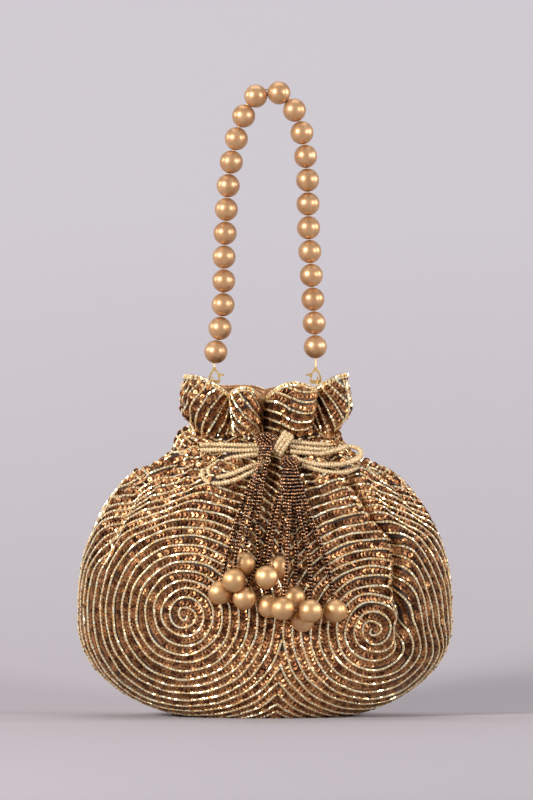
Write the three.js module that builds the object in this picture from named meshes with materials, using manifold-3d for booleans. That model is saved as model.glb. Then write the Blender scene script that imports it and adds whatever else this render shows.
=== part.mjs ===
// Potli bag: a gathered evening bag of beaded cloth with drawcords, tassels and a pearl handle.
// Millimetres, +Z up, the front towards -Y, the origin on the floor under the middle of the bag.
import * as THREE from 'three';
import { mergeVertices } from 'three/addons/utils/BufferGeometryUtils.js';
import Module from 'manifold-3d';

const wasm = await Module();
wasm.setup();

// Driving dimensions of the bag
const bodyHalfWidth = 111.2;
const bodyHalfDepth = 55;
const widestHeight = 58;
const baseHalfWidth = 40;
const baseHalfDepth = 30;
const neckHeight = 167;
const neckHalfWidth = 41.5;
const neckHalfDepth = 22;
const frillHeight = 35;
const frillFlareWidth = 4.5;
const frillFlareDepth = 3.5;
const clothWall = 1.6;
const liningWall = 0.7;
const clearance = 0.3;

// How the outline swells to the belly: the rounding of the bottom and the slope of the shoulders
const bottomRounding = 2.2;
const bottomFullness = 0.64;
const shoulderFullness = 2.8;

// Gathers: pleats that grow towards the neck, and the lobes of the frill above it
const pleatCount = 10;
const pleatDepth = 2;
const pleatReach = 62;
const pleatRoom = 1.5;
const lobeCount = 8;
const lobeDepth = 5.4;
const pleatEnd = 0.5 * frillHeight;
const lobeRise = 0.6 * frillHeight;
const flareRise = 0.7 * frillHeight;
const hemPower = 1.5;
const hemDip = 4.5;
const samplesRound = 40;
const bottomRows = 4;
const shoulderRows = 5;
const frillRows = 3;

// Handle
const beadDiameter = 14;
const beadPitch = 14.3;
const beadCount = 24;
const beadSides = 8;
const beadBore = 3.2;
const wireDiameter = 0.9;
const wireSides = 6;

// Snap hooks, the rings they hold and the tabs that hold the rings
const hookSpread = 30.4;
const barHeight = neckHeight + 33.5;
const hookHalfWidth = 3.6;
const hookLength = 8.7;
const hookThickness = 2.4;
const hookCheek = 1.2;
const hookBar = 2.2;
const hookNeckHalfWidth = 1;
const hookHoleTop = hookLength - 2.4;
const hookStub = 0.5;
const gateTop = 5.2;
const gateSlope = 0.5;
const triggerThickness = 1.6;
const thumbLength = 2.2;
const thumbDrop = 0.6;
const ringRadius = 3.4;
const ringWire = 1.1;
const ringSides = 10;
const ringWireSides = 5;
const ringShift = 1.2;
const tabThickness = 1.2;
const tabWidth = 5.2;
const tabEyeRadius = 1.2;
const tabEdge = 1;
const tabFootHeight = neckHeight + 5;
const tabFootSpan = 9;

// Cords, bow and tassels
const cordDiameter = 2.5;
const strandDiameter = 2.8;
const cordSides = 8;
const knotLength = 13;
const knotWidth = 6.4;
const knotLean = 0.42;
const knotLift = 1.6;
const pearlDiameter = 14;
const pearlSides = 8;
const tasselHeads = {
  left: { x: 0.6, drop: 0.6, width: 10, depth: 6, height: 9 },
  right: { x: 14.6, drop: 14, width: 9, depth: 5.6, height: 8 },
};
const headSpread = 0.72;
const headOverlap = 0.2;
const headLift = 8.4;

const finish = {
  beadwork: { color: 0x8a6238, roughness: 0.45, metalness: 0.55 },
  satin: { color: 0xb8864a, roughness: 0.5, metalness: 0 },
  cord: { color: 0xe0c68c, roughness: 0.6, metalness: 0.2 },
  pearl: { color: 0xb8864f, roughness: 0.32, metalness: 0.4 },
  tasselPearl: { color: 0xd0aa72, roughness: 0.3, metalness: 0.4 },
  strand: { color: 0x4f3a1e, roughness: 0.3, metalness: 0.5 },
  hardware: { color: 0xd9c48c, roughness: 0.25, metalness: 0.9 },
};

const bag = new THREE.Group();

function add(name, geometry, look) {
  const mesh = new THREE.Mesh(geometry, new THREE.MeshStandardMaterial(finish[look]));
  mesh.name = name;
  bag.add(mesh);
  return mesh;
}

// A closed geometry with shared corners and its faces pointing out
function closed(geometry) {
  const bare = geometry.clone();
  bare.deleteAttribute('normal');
  bare.deleteAttribute('uv');
  const merged = mergeVertices(bare, 1e-4);
  const p = merged.attributes.position.array;
  const index = Array.from(merged.index.array);
  const kept = [];
  let volume = 0;
  for (let i = 0; i < index.length; i += 3) {
    const [a, b, c] = [index[i], index[i + 1], index[i + 2]];
    if (a === b || b === c || c === a) continue;
    kept.push(a, b, c);
    const at = [a, b, c].map((k) => new THREE.Vector3(p[3 * k], p[3 * k + 1], p[3 * k + 2]));
    volume += at[0].dot(at[1].cross(at[2]));
  }
  if (volume < 0) kept.reverse();
  merged.setIndex(kept);
  return merged;
}

function fromTriangles(points, faces) {
  const geometry = new THREE.BufferGeometry();
  geometry.setAttribute('position', new THREE.Float32BufferAttribute(points.flat(), 3));
  geometry.setIndex(faces.flat());
  return closed(geometry);
}

function toSolid(geometry) {
  const made = closed(geometry);
  return new wasm.Manifold(new wasm.Mesh({
    numProp: 3,
    vertProperties: new Float32Array(made.attributes.position.array),
    triVerts: new Uint32Array(made.index.array),
  }));
}

// The outer skin alone: closely packed strands can shut small pockets between them
function fromSolid(solid) {
  const skins = solid.decompose().sort((a, b) => b.volume() - a.volume());
  const mesh = skins[0].getMesh();
  const geometry = new THREE.BufferGeometry();
  geometry.setAttribute('position', new THREE.BufferAttribute(new Float32Array(mesh.vertProperties), 3));
  geometry.setIndex(Array.from(mesh.triVerts));
  return geometry;
}

// Bag outline: half width and half depth at a height
const between = (low, high, share) => low + (high - low) * share;
const smooth = (t) => {
  const s = Math.min(Math.max(t, 0), 1);
  return s * s * (3 - 2 * s);
};

function belly(z) {
  if (z <= widestHeight) {
    return Math.pow(1 - Math.pow(1 - Math.max(z, 0) / widestHeight, bottomRounding), bottomFullness);
  }
  return 1 - Math.pow((z - widestHeight) / (neckHeight - widestHeight), shoulderFullness);
}

function halfSize(z, base, widest, neck, flare) {
  if (z <= widestHeight) return between(base, widest, belly(z));
  if (z <= neckHeight) return between(neck, widest, belly(z));
  return neck + flare * smooth((z - neckHeight) / flareRise);
}

const halfWidth = (z) => halfSize(z, baseHalfWidth, bodyHalfWidth, neckHalfWidth, frillFlareWidth);
const halfDepth = (z) => halfSize(z, baseHalfDepth, bodyHalfDepth, neckHalfDepth, frillFlareDepth);

// How far the gathered cloth stands out from the plain outline
function gather(angle, z) {
  const rise = smooth((z - neckHeight + pleatReach) / pleatReach);
  const fall = 1 - smooth((z - neckHeight) / pleatEnd);
  const pleats = pleatDepth * rise * fall * Math.cos(pleatCount * angle);
  const bulge = (1 - Math.cos(lobeCount * angle)) / 2;
  return pleats + lobeDepth * smooth((z - neckHeight) / lobeRise) * bulge;
}

// Change of a half size for each millimetre of height
function slope(size, z) {
  const reach = 0.05;
  const low = Math.max(z - reach, 0);
  return (size(z + reach) - size(low)) / (z + reach - low);
}

// A point of the cloth, moved inwards along the normal of the plain outline
function clothPoint(angle, z, inset) {
  const [cos, sin] = [Math.cos(angle), Math.sin(angle)];
  const [width, depth] = [halfWidth(z), halfDepth(z)];
  const lean = width * slope(halfDepth, z) * sin * sin + depth * slope(halfWidth, z) * cos * cos;
  const normal = new THREE.Vector3(depth * cos, width * sin, -lean).normalize();
  return new THREE.Vector3(width * cos, depth * sin, z).addScaledVector(normal, gather(angle, z) - inset);
}

// The frill's hem is lower in the middle of the front and back than at the sides
function hemHeight(angle) {
  return neckHeight + frillHeight - hemDip * Math.pow(Math.abs(Math.sin(angle)), hemPower);
}

// Front of the cloth at x and z, and a point that lies lift in front of it
function frontPoint(x, z, lift) {
  const across = Math.min(Math.abs(x) / halfWidth(z), 1);
  const pleat = pleatRoom * pleatDepth * smooth((z - neckHeight + pleatReach) / pleatReach);
  return new THREE.Vector3(x, -(halfDepth(z) + pleat) * Math.sqrt(1 - across * across) - lift, z);
}

// Heights of the rows below the frill. The lining leaves out every second row of the round belly.
function rowHeights(sparse) {
  const rows = [];
  for (let i = 0; i < bottomRows; i += sparse ? 2 : 1) {
    rows.push(widestHeight * (1 - Math.cos((i / bottomRows) * Math.PI / 2)));
  }
  for (let i = 0; i <= shoulderRows; i += 1) {
    if (sparse && i % 2 === 1 && i < shoulderRows - 1) continue;
    rows.push(between(widestHeight, neckHeight, Math.sin((i / shoulderRows) * Math.PI / 2)));
  }
  return rows;
}

// A cloth shell between two insets. A half shell has its edges on the seam; a whole one is a cup.
function clothShell(outerInset, innerInset, span, seamSide) {
  const count = Math.round(samplesRound * span);
  const whole = span === 1;
  const columns = whole ? count : count + 1;
  const bodyRows = rowHeights(whole);
  const points = [];
  const faces = [];
  const seam = seamSide * clearance / 2;
  const place = (column, row, inset) => {
    const angle = (column / samplesRound) * 2 * Math.PI * (seamSide || 1);
    const rim = hemHeight(angle);
    let z = bodyRows[row];
    if (row >= bodyRows.length) {
      z = between(neckHeight, rim, (row - bodyRows.length + 1) / frillRows);
    }
    const { x, y, z: height } = clothPoint(angle, z, inset);
    const onSeam = !whole && (column === 0 || column === count);
    return [x, onSeam ? seam : y, row === 0 ? inset : height];
  };
  const rows = bodyRows.length + frillRows;
  const layer = (inset) => {
    const centre = points.push([0, seam, inset]) - 1;
    const first = points.length;
    for (let r = 0; r < rows; r += 1) {
      for (let c = 0; c < columns; c += 1) points.push(place(c, r, inset));
    }
    return { centre, at: (c, r) => first + r * columns + (c % columns) };
  };
  const outer = layer(outerInset);
  const inner = layer(innerInset);
  // Every layer is split along the same diagonals, so that the layers stay an even gap apart
  const split = (a, b, c, d) => {
    if (seamSide < 0) faces.push([a, b, d], [b, c, d]);
    else faces.push([a, b, c], [a, c, d]);
  };
  for (let c = 0; c < count; c += 1) {
    faces.push([outer.centre, outer.at(c + 1, 0), outer.at(c, 0)]);
    faces.push([inner.centre, inner.at(c, 0), inner.at(c + 1, 0)]);
    for (let r = 0; r < rows - 1; r += 1) {
      split(outer.at(c, r), outer.at(c + 1, r), outer.at(c + 1, r + 1), outer.at(c, r + 1));
      const firstInner = faces.length;
      split(inner.at(c, r), inner.at(c + 1, r), inner.at(c + 1, r + 1), inner.at(c, r + 1));
      faces.slice(firstInner).forEach((face) => face.reverse());
    }
    const top = rows - 1;
    faces.push([outer.at(c, top), outer.at(c + 1, top), inner.at(c + 1, top)]);
    faces.push([outer.at(c, top), inner.at(c + 1, top), inner.at(c, top)]);
  }
  if (!whole) {
    const edge = (a, b, c, d) => faces.push([a, b, c], [a, c, d]);
    edge(outer.centre, outer.at(0, 0), inner.at(0, 0), inner.centre);
    edge(outer.at(count, 0), outer.centre, inner.centre, inner.at(count, 0));
    for (let r = 0; r < rows - 1; r += 1) {
      edge(outer.at(0, r), outer.at(0, r + 1), inner.at(0, r + 1), inner.at(0, r));
      edge(outer.at(count, r + 1), outer.at(count, r), inner.at(count, r), inner.at(count, r + 1));
    }
  }
  return fromTriangles(points, faces);
}

// A line that runs straight from point to point, as a thread does between the holes it passes
class StraightRuns extends THREE.Curve {
  constructor(points) {
    super();
    this.points = points;
  }

  getPoint(t, target = new THREE.Vector3()) {
    const place = t * (this.points.length - 1);
    const i = Math.min(Math.floor(place), this.points.length - 2);
    return target.lerpVectors(this.points[i], this.points[i + 1], place - i);
  }

  getUtoTmapping(u) {
    return u;
  }
}

// A round bar along a curve, with flat ends
function sweep(curve, diameter, sides, steps) {
  const round = new THREE.Shape();
  for (let i = 0; i < sides; i += 1) {
    const angle = (i / sides) * 2 * Math.PI;
    round.lineTo(0.5 * diameter * Math.cos(angle), 0.5 * diameter * Math.sin(angle));
  }
  round.closePath();
  return new THREE.ExtrudeGeometry(round, { steps, extrudePath: curve, bevelEnabled: false });
}

// A cord along a smooth curve through its points, with a step every three diameters
function cordBar(points, diameter) {
  const curve = new THREE.CatmullRomCurve3(points, false, 'centripetal');
  return sweep(curve, diameter, cordSides, Math.max(2, Math.ceil(curve.getLength() / (3 * diameter))));
}

function ball(diameter, sides, bands) {
  const profile = [];
  for (let i = 0; i <= bands; i += 1) {
    const angle = -Math.PI / 2 + (i / bands) * Math.PI;
    const reach = i === 0 || i === bands ? 0 : Math.cos(angle);
    profile.push(new THREE.Vector2(reach, Math.sin(angle)).multiplyScalar(diameter / 2));
  }
  return closed(new THREE.LatheGeometry(profile, sides));
}

// Bag body
add('front_panel', clothShell(0, clothWall, 0.5, -1), 'beadwork');
add('back_panel', clothShell(0, clothWall, 0.5, 1), 'beadwork');
const liningOutside = clothWall + clearance;
const liningInside = liningOutside + liningWall;
add('lining', clothShell(liningOutside, liningInside, 1, 0), 'satin');

// Handle: the bead string stands up in an arch, and its beads sit at an even pitch along it
const handleRoute = [
  [-hookSpread + 0.6, 16], [-25.3, 44.5], [-24.4, 79.5], [-20.6, 129.5], [-13.4, 157.9], [-6.3, 170.9],
  [8.9, 173.1], [18.4, 161.4], [24.6, 133.5], [26.2, 90.5], [28.8, 47.5], [hookSpread - 0.1, 19],
].map(([x, rise]) => new THREE.Vector3(x, 0, barHeight + rise));
const handleCurve = new THREE.CatmullRomCurve3(handleRoute, false, 'centripetal');
handleCurve.arcLengthDivisions = 600;
const stringLength = handleCurve.getLength();
const evenPitch = Math.min(beadPitch, stringLength / (beadCount - 1));
const beadCentres = [];
for (let i = 0; i < beadCount; i += 1) {
  const middle = (beadCount - 1) / 2;
  const along = stringLength / 2 + (i - middle) * evenPitch;
  const share = Math.min(Math.max(along / stringLength, 0), 1);
  beadCentres.push({ at: handleCurve.getPointAt(share), along: handleCurve.getTangentAt(share) });
}
// Each bead lies along the line through its two neighbours, as threaded beads do
beadCentres.slice(1, -1).forEach((bead, i) => {
  bead.along.subVectors(beadCentres[i + 2].at, beadCentres[i].at).normalize();
});

function boredBead() {
  const bore = beadBore / 2;
  const lip = Math.acos(beadBore / beadDiameter);
  const bands = 4;
  const profile = [];
  for (let i = 0; i <= bands; i += 1) {
    const angle = -lip + (i / bands) * 2 * lip;
    profile.push(new THREE.Vector2(Math.cos(angle), Math.sin(angle)).multiplyScalar(beadDiameter / 2));
  }
  profile[0].x = bore;
  profile[bands].x = bore;
  profile.push(profile[0].clone());
  return closed(new THREE.LatheGeometry(profile, beadSides));
}

beadCentres.forEach(({ at, along }, i) => {
  const bead = add(`handle_bead_${String(i + 1).padStart(2, '0')}`, boredBead(), 'pearl');
  bead.position.copy(at);
  bead.quaternion.setFromUnitVectors(new THREE.Vector3(0, 1, 0), along);
});

// Snap hooks. Each hangs in the plane of the handle with its gate towards the middle of the bag.
const hookTop = barHeight + hookLength;
const lipOf = ({ at, along }, way) => at.clone().addScaledVector(along, way * beadDiameter / 2);
const wireRoute = [
  new THREE.Vector3(-hookSpread, 0, hookTop + clearance),
  lipOf(beadCentres[0], -1),
  ...beadCentres.slice(1).map((bead, i) => lipOf(beadCentres[i], 1).lerp(lipOf(bead, -1), 0.5)),
  lipOf(beadCentres[beadCount - 1], 1),
  new THREE.Vector3(hookSpread, 0, hookTop + clearance),
];
const wireLine = new StraightRuns(wireRoute);
add('handle_wire', closed(sweep(wireLine, wireDiameter, wireSides, wireRoute.length - 1)), 'hardware');

function plate(shape, thickness) {
  const flat = new THREE.ExtrudeGeometry(shape, { depth: thickness, bevelEnabled: false, curveSegments: 3 });
  flat.translate(0, 0, -thickness / 2);
  flat.rotateX(Math.PI / 2);
  return flat;
}

function outlineOf(points) {
  const shape = new THREE.Shape();
  points.forEach(([x, y], i) => (i === 0 ? shape.moveTo(x, y) : shape.lineTo(x, y)));
  shape.closePath();
  return shape;
}

const halfBar = hookBar / 2;
const holeHalfWidth = hookHalfWidth - hookCheek;
const holeTipHalfWidth = 0.4;
const bend = 0.45 * hookLength;
const shoulder = 0.88 * hookLength;

// Hook body in its own plane: drop-shaped, with a drop-shaped hole and the gate cut on one side
function hookShape() {
  const shape = new THREE.Shape();
  shape.moveTo(-hookHalfWidth + halfBar, -halfBar);
  shape.lineTo(hookHalfWidth - halfBar, -halfBar);
  shape.quadraticCurveTo(hookHalfWidth, -halfBar, hookHalfWidth, halfBar);
  shape.quadraticCurveTo(hookHalfWidth, bend, hookNeckHalfWidth, shoulder);
  shape.lineTo(hookNeckHalfWidth, hookLength);
  shape.lineTo(-hookNeckHalfWidth, hookLength);
  shape.lineTo(-hookNeckHalfWidth, shoulder);
  shape.lineTo(-0.8 * hookHalfWidth, gateTop + clearance);
  shape.lineTo(-holeHalfWidth * 0.62, gateTop + clearance);
  shape.lineTo(-holeTipHalfWidth, hookHoleTop);
  shape.lineTo(holeTipHalfWidth, hookHoleTop);
  shape.quadraticCurveTo(holeHalfWidth, bend, holeHalfWidth, halfBar);
  shape.lineTo(-holeHalfWidth, halfBar);
  shape.lineTo(-holeHalfWidth, halfBar + hookStub);
  shape.lineTo(-hookHalfWidth, halfBar + hookStub);
  shape.lineTo(-hookHalfWidth, 0);
  shape.closePath();
  return shape;
}

// The trigger turns inwards about its upper inner corner, and its sloped tip clears the stub below it
function triggerShape() {
  const tip = halfBar + hookStub + clearance;
  const inside = -holeHalfWidth;
  const outside = -hookHalfWidth;
  return outlineOf([
    [outside, tip + gateSlope],
    [inside, tip],
    [-holeHalfWidth * 0.72, gateTop],
    [-hookHalfWidth * 0.86, gateTop],
    [outside - thumbLength, gateTop - thumbDrop],
    [outside - thumbLength, gateTop - thumbDrop - 1],
    [outside, gateTop - thumbDrop - 0.9],
  ]);
}

// The ring stands clear of the bar's corners as the hook turns about the bar
const barSwing = Math.hypot(halfBar, hookThickness / 2);
const ringOpening = (ringRadius - ringWire / 2) * Math.cos(Math.PI / ringSides);
const ringMiddle = barHeight + barSwing + clearance - ringOpening;
const ringBottom = ringMiddle - ringRadius;
const eyeHeight = ringBottom + ringWire / 2 + clearance - tabEyeRadius;

function ring() {
  const profile = [];
  for (let i = 0; i <= ringWireSides; i += 1) {
    const angle = (i / ringWireSides) * 2 * Math.PI;
    const section = new THREE.Vector2(Math.cos(angle), Math.sin(angle)).multiplyScalar(ringWire / 2);
    profile.push(section.setX(section.x + ringRadius));
  }
  profile[ringWireSides].copy(profile[0]);
  return closed(new THREE.LatheGeometry(profile, ringSides).rotateZ(Math.PI / 2));
}

// Tab: a sewn strap that rises from the side seam, inside the lining, to the ring
function tabGeometry(ringX) {
  const foot = tabFootHeight;
  const wallAt = (z) => clothPoint(0, z, liningInside).x - 2 * clearance;
  const half = tabWidth / 2;
  const top = eyeHeight + tabEyeRadius + tabEdge;
  const shape = new THREE.Shape();
  shape.moveTo(wallAt(foot), foot);
  shape.lineTo(wallAt(foot + tabFootSpan), foot + tabFootSpan);
  shape.lineTo(ringX + half, eyeHeight + tabEdge);
  shape.lineTo(ringX + half - tabEdge, top);
  shape.lineTo(ringX - half + tabEdge, top);
  shape.lineTo(ringX - half, eyeHeight - tabEdge);
  shape.closePath();
  const eye = new THREE.Path();
  eye.absarc(ringX, eyeHeight, tabEyeRadius, 0, 2 * Math.PI, true);
  shape.holes.push(eye);
  return closed(plate(shape, tabThickness));
}

for (const [side, way] of [['left', -1], ['right', 1]]) {
  const hook = add(`${side}_clasp`, closed(plate(hookShape(), hookThickness)), 'hardware');
  const trigger = add(`${side}_trigger`, closed(plate(triggerShape(), triggerThickness)), 'hardware');
  for (const piece of [hook, trigger]) {
    piece.position.set(way * hookSpread, 0, barHeight);
    piece.rotation.z = way > 0 ? 0 : Math.PI;
  }
  const ringX = hookSpread + ringShift;
  const mouthRing = add(`${side}_mouth_ring`, ring(), 'hardware');
  mouthRing.position.set(way * ringX, 0, ringMiddle);
  const tab = add(`${side}_loop_tab`, tabGeometry(ringX), 'satin');
  tab.rotation.z = way > 0 ? 0 : Math.PI;
}

// Drawcords and bow: each place is [x, drop below the neck, lift off the cloth]
const knot = { x: 9.5, drop: 3.4 };
const seatOfCord = 0.5 * cordDiameter + clearance;

function frontPlace([x, drop, lift]) {
  return frontPoint(x, neckHeight - drop, lift);
}

function cord(name, route) {
  const line = route.map(([x, drop, lift]) => frontPlace([x, drop, lift + seatOfCord]));
  add(name, closed(cordBar(line, cordDiameter)), 'cord');
}

cord('drawcord_left_upper', [
  [-38.6, 4, 1.6], [-33, 3.6, 0.9], [-20, 3.8, 0.8], [-8, 4, 0.8], [5.3, 3.4, 1],
]);
cord('drawcord_left_lower', [
  [-38.2, 7.2, 1.6], [-32, 6.8, 0.9], [-19, 6.9, 0.8], [-8, 6.7, 0.8], [4.6, 6.2, 1.2],
]);
cord('drawcord_right_upper', [
  [15, 1.6, 1], [23, 2.6, 0.9], [31, 3.4, 1], [38.2, 3.8, 1.8],
]);
cord('drawcord_right_lower', [
  [15, 4.6, 0.8], [22, 5.4, 0.8], [30, 6.3, 0.9], [38, 6.7, 1.6],
]);
cord('bow_left_loop', [
  [3.4, 9, 0.3], [-8, 9.6, 0.3], [-20, 11.4, 0.3], [-29, 14.4, 0.3], [-33.6, 18.4, 0.4],
  [-31.6, 22.2, 0.5], [-24, 22, 0.4], [-14, 18.4, 0.3], [-4, 14.6, 0.3], [3, 12.4, 0.3],
]);
cord('bow_left_lower_loop', [
  [-2, 16.7, 0.5], [-10, 20.8, 0.4], [-20, 25, 0.4], [-30, 26.4, 0.5], [-36.6, 23.6, 0.5],
  [-37.4, 18.6, 0.5],
]);
cord('bow_right_upper_loop', [
  [15, 7.4, 0.3], [24, 8.4, 0.4], [33, 9.1, 1.4], [42, 7, 4.4], [50, 5, 9], [56, 6.4, 12],
  [57, 10.4, 12.4], [51, 13.8, 9], [42, 15.4, 5.4], [31, 15, 4.2], [22, 13, 1.6], [16, 10.6, 0.5],
]);
cord('bow_right_lower_loop', [
  [22, 15.6, 1], [30, 17.9, 1], [40, 20.1, 1.4], [49, 19.6, 2.2], [55.6, 16.8, 3.2],
]);

// Knot: a short fat wrap that leans to the right at its top
const wrapShares = [[0, -0.5], [0.36, -0.44], [0.5, -0.2], [0.5, 0.2], [0.36, 0.44], [0, 0.5]];
const wrapProfile = wrapShares.map(([out, up]) => new THREE.Vector2(out * knotWidth, up * knotLength));
const wrap = new THREE.LatheGeometry(wrapProfile, pearlSides);
const wrapMesh = add('bow_knot', closed(wrap), 'cord');
wrapMesh.position.copy(frontPlace([knot.x, knot.drop, knotWidth / 2 + knotLift]));
wrapMesh.rotation.set(Math.PI / 2, 0, 0);
wrapMesh.rotateZ(-knotLean);

// Tassels: strands leave a round head, lie down the front of the bag and end in a pearl.
// Each place is [x, drop below the neck, lift off the cloth].
const tassels = {
  left: [
    { pearl: [-12.6, 73.8, 7.6], way: [[-6, 37, 3.2], [-10.4, 55, 3.4]] },
    { pearl: [-18.5, 83.4, 16.6], way: [[-9.6, 37, 6], [-16.4, 63, 15]] },
    { pearl: [-26.9, 91, 7.6], way: [[-13, 37, 3.2], [-21, 62, 3]] },
    { pearl: [-12.3, 94, 10.8], way: [[-3.2, 35, 6.2], [-4.4, 59, 4.2], [-4, 74, 3.6], [-8.6, 82.6, 6.6]] },
  ],
  right: [
    { pearl: [1, 81.4, 18.6], way: [[8.2, 39, 6.2], [3.6, 61, 9.6]] },
    { pearl: [8.5, 75.8, 7.6], way: [[11.6, 41, 6], [9.4, 58, 4.6]] },
    { pearl: [2.4, 99.1, 7.6], way: [[5.6, 41, 3], [0.9, 63, 2.4], [-0.8, 79, 2]] },
    { pearl: [10.4, 99.9, 20.6], way: [[14.4, 43, 6.4], [13, 65, 15], [12.6, 79, 19]] },
    { pearl: [17, 94, 7.6], way: [[17, 45, 3], [18.6, 69, 2.4]] },
    { pearl: [26.9, 101.5, 20], way: [[20.6, 47, 6], [26, 71, 11]] },
    { pearl: [22.5, 107.5, 7.6], way: [[23, 49, 2.6], [27, 73, 2.4], [27.4, 91, 2.6]] },
    { pearl: [41.8, 101.9, 8], way: [[26.6, 45, 3], [36.6, 73, 3]] },
  ],
};
const overHead = [[0.2, 7.6], [0.46, 6.6], [0.74, 5.6]];

for (const [side, head] of Object.entries(tasselHeads)) {
  const strands = tassels[side];
  const headAt = frontPlace([head.x, head.drop, headLift]);
  const bulb = ball(1, 8, 5);
  bulb.rotateX(Math.PI / 2);
  bulb.scale(head.width, head.depth, head.height);
  bulb.translate(headAt.x, headAt.y, headAt.z);
  let joined = toSolid(bulb);
  strands.forEach(({ pearl: pearlPlace, way }, i) => {
    const pearlAt = frontPlace(pearlPlace);
    const before = way.map(([x, drop, lift]) => frontPlace([x, drop, lift + strandDiameter / 2]));
    const lead = before[before.length - 1].clone().sub(pearlAt).normalize();
    const end = pearlAt.clone().addScaledVector(lead, pearlDiameter / 2 + clearance);
    const spread = ((i + 0.5) / strands.length - 0.5) * headSpread * head.width;
    const start = new THREE.Vector3(headAt.x + spread, headAt.y, headAt.z - headOverlap * head.height);
    const over = overHead.map(([share, lift]) => frontPoint(
      between(start.x, before[0].x, share),
      between(start.z, before[0].z, share),
      lift,
    ));
    joined = joined.add(toSolid(cordBar([start, ...over, ...before, end], strandDiameter)));
    const pearl = add(`${side}_tassel_pearl_${i + 1}`, ball(pearlDiameter, pearlSides, 4), 'tasselPearl');
    pearl.position.copy(pearlAt);
    pearl.quaternion.setFromUnitVectors(new THREE.Vector3(0, 1, 0), lead);
  });
  add(`${side}_tassel_strands`, fromSolid(joined), 'strand');
}

export default bag;
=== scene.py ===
"""Potli bag: beaded cloth, gold cords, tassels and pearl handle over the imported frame."""

import math

import bpy
import numpy as np
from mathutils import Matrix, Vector


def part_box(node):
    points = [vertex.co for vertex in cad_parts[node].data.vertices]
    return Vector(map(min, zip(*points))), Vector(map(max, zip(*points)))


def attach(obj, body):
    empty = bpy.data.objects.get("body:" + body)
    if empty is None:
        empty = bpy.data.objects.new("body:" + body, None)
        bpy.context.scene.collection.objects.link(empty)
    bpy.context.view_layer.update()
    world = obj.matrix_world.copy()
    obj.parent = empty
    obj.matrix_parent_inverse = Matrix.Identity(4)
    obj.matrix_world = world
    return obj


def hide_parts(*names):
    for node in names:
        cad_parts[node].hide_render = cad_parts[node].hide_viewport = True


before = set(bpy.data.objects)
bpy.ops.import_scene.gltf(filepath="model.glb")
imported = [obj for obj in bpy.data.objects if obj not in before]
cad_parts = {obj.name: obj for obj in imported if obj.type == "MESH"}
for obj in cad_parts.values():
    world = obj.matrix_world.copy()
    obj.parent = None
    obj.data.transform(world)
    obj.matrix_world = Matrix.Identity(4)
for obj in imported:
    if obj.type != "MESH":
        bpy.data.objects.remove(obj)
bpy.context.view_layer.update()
chance = np.random.RandomState(7)

# Sizes in millimetres, the same as in the part's source
WIDEST, NECK, FRILL = 58.0, 167.0, 35.0
BODY_WIDTH, BODY_DEPTH = 111.2, 55.0
BASE_WIDTH, BASE_DEPTH = 40.0, 30.0
NECK_WIDTH, NECK_DEPTH = 41.5, 22.0
FLARE_WIDTH, FLARE_DEPTH = 4.5, 3.5
PLEATS, PLEAT_DEPTH, PLEAT_REACH = 10, 2.0, 62.0
LOBES, LOBE_DEPTH = 8, 5.4
HEM = NECK + FRILL
CORD = 2.5
CORD_SEAT = 1.55
PEARL = 14.0
HANDLE_BEADS = 24
STRAND = 2.8
HEAD_LIFT = 8.4

# The beadwork and the strung beads, in millimetres
ROW_PITCH = 5.3
CUT_LENGTH, CUT_WIDTH, CUT_PITCH = 1.75, 1.55, 2.0
SEQUIN, SEQUIN_HOLE, SEQUIN_CUP, SEQUIN_PITCH = 4.1, 1.0, 0.3, 2.5
SEED, SEED_LENGTH, SEED_PITCH = 3.3, 1.9, 2.15
SEED_BORE, PEARL_BORE, THREAD = 0.35, 1.0, 0.9
MM = 0.001


# The camera
CAMERA_AWAY, CAMERA_RISE = 7.0, 1.0


def make_camera():
    """A long lens from far off, one degree above the level of what it looks at."""
    data = bpy.data.cameras.new("camera")
    data.lens = 525
    data.sensor_width = 36
    data.clip_start, data.clip_end = 0.05, 30
    camera = bpy.data.objects.new("camera", data)
    bpy.context.scene.collection.objects.link(camera)
    target = Vector((0.0009, 0.0, 0.1896))
    rise = math.radians(CAMERA_RISE)
    back = Vector((0.0, -math.cos(rise), math.sin(rise)))
    camera.location = target + back * CAMERA_AWAY
    camera.rotation_mode = "QUATERNION"
    camera.rotation_quaternion = (-back).to_track_quat("-Z", "Y")
    bpy.context.scene.camera = camera


make_camera()


# The bag's form
def smooth(t):
    s = np.clip(t, 0, 1)
    return s * s * (3 - 2 * s)


def belly(z):
    """How far the cloth swells out at a height: 1 where it is widest."""
    below = np.clip(1 - np.maximum(z, 0) / WIDEST, 0, 1)
    above = np.clip((z - WIDEST) / (NECK - WIDEST), 0, 1)
    return np.where(z <= WIDEST, (1 - below**2.2) ** 0.64, 1 - above**2.8)


def half_size(z, base, widest, neck, flare):
    share = belly(z)
    frill = neck + flare * smooth((z - NECK) / (0.7 * FRILL))
    body = np.where(z <= WIDEST, base, neck)
    return np.where(z <= NECK, body + (widest - body) * share, frill)


def half_width(z):
    return half_size(z, BASE_WIDTH, BODY_WIDTH, NECK_WIDTH, FLARE_WIDTH)


def half_depth(z):
    return half_size(z, BASE_DEPTH, BODY_DEPTH, NECK_DEPTH, FLARE_DEPTH)


def gather(angle, z):
    """The pleats under the cords and the lobes of the frill above them."""
    drawn_in = smooth((z - NECK + PLEAT_REACH) / PLEAT_REACH)
    pleat = drawn_in * (1 - smooth((z - NECK) / (0.5 * FRILL)))
    turn = np.radians(np.interp(from_front(angle), LOBE_FROM, LOBE_TO))
    lobe = smooth((z - NECK) / (0.6 * FRILL)) * (1 - np.cos(LOBES * turn)) / 2
    return PLEAT_DEPTH * pleat * np.cos(PLEATS * angle) + LOBE_DEPTH * lobe


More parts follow.
